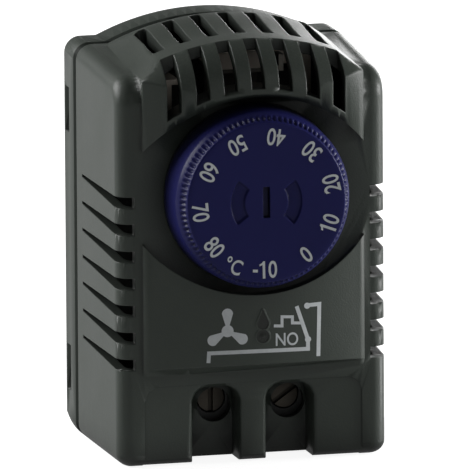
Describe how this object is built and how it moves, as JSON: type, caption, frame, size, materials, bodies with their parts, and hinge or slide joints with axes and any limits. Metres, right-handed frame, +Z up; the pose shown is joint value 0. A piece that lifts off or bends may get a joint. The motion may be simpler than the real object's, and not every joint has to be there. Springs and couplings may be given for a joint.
{
  "type": "din rail thermostat",
  "caption": "Small enclosure thermostat with an arched vented cover, a graduated setting dial, screw terminals below and a sprung rail clip behind.",
  "frame": {"origin": "centre of the bounding box's base", "axes": "+X to the right of someone facing the dial, +Y from the dial to the rail, +Z up; the dial faces -Y"},
  "size_m": [0.047, 0.0478, 0.0722],
  "materials": {
    "case": "moulded, fine matt texture",
    "dial": "moulded, satin",
    "carrier": "moulded, satin",
    "cream": "moulded, satin",
    "latch": "moulded, satin",
    "steel": "zinc plated",
    "bimetal": "rolled strip",
    "copper_alloy": "rolled strip",
    "tinned": "tin plated",
    "contact": "silver button",
    "magnet": "sintered"
  },
  "bodies": {
    "case": {"front_cover": "case", "rear_base": "case", "carrier": "carrier", "carrier_screws": "steel", "strip_bridge": "cream", "side_stay": "tinned", "blade_foot": "copper_alloy", "blade_rivets": "steel", "anchor_bracket": "tinned", "bracket_rivets": "steel", "magnet": "magnet", "link_bar": "tinned", "terminal_bar_left": "tinned", "terminal_bar_right": "tinned", "latch_spring": "steel"},
    "setting_dial": {"dial": "dial", "dial_spindle": "steel", "spindle_cam": "cream", "spindle_clip": "steel", "friction_washer": "steel"},
    "blade": {"contact_blade": "copper_alloy", "set_contact": "contact"},
    "strip": {"bimetal_strip": "bimetal", "strip_contact": "contact", "armature": "steel"},
    "screw_left": {"terminal_screw_left": "steel"},
    "screw_right": {"terminal_screw_right": "steel"},
    "cage_left": {"clamp_cage_left": "steel"},
    "cage_right": {"clamp_cage_right": "steel"},
    "latch": {"rail_latch": "latch"}
  },
  "joints": [
    {"name": "dial_turn", "type": "hinge", "parent": "case", "child": "setting_dial", "pos_m": [0, -0.0144, 0.04555], "axis": [0, 1, 0], "range_deg": [0, 307]},
    {"name": "blade_tilt", "type": "hinge", "parent": "case", "child": "blade", "pos_m": [0, -0.00205, 0.019], "axis": [1, 0, 0], "range_deg": [0, 3.2]},
    {"name": "strip_bend", "type": "hinge", "parent": "case", "child": "strip", "pos_m": [0, 0.0003, 0.0575], "axis": [1, 0, 0], "range_deg": [0, 4], "stiffness_Nm_per_rad": 0.03},
    {"name": "screw_left_turn", "type": "hinge", "parent": "case", "child": "screw_left", "pos_m": [-0.0053, -0.0062, 0.0096], "axis": [0, 1, 0], "range_deg": [0, 1558]},
    {"name": "cage_left_slide", "type": "slide", "parent": "case", "child": "cage_left", "axis": [0, -1, 0], "range_m": [0, 0.0026]},
    {"name": "screw_right_turn", "type": "hinge", "parent": "case", "child": "screw_right", "pos_m": [0.0073, -0.0062, 0.0096], "axis": [0, 1, 0], "range_deg": [0, 1558]},
    {"name": "cage_right_slide", "type": "slide", "parent": "case", "child": "cage_right", "axis": [0, -1, 0], "range_m": [0, 0.0026]},
    {"name": "latch_slide", "type": "slide", "parent": "case", "child": "latch", "axis": [0, 0, -1], "range_m": [0, 0.0025], "stiffness_N_per_m": 500, "deforming": ["latch_spring"]}
  ],
  "couplings": [
    {"joint": "blade_tilt", "follows": "dial_turn", "ratio": 0.010382},
    {"joint": "screw_left_turn", "follows": "cage_left_slide", "rad_per_m": 10458},
    {"joint": "screw_right_turn", "follows": "cage_right_slide", "rad_per_m": 10458}
  ]
}
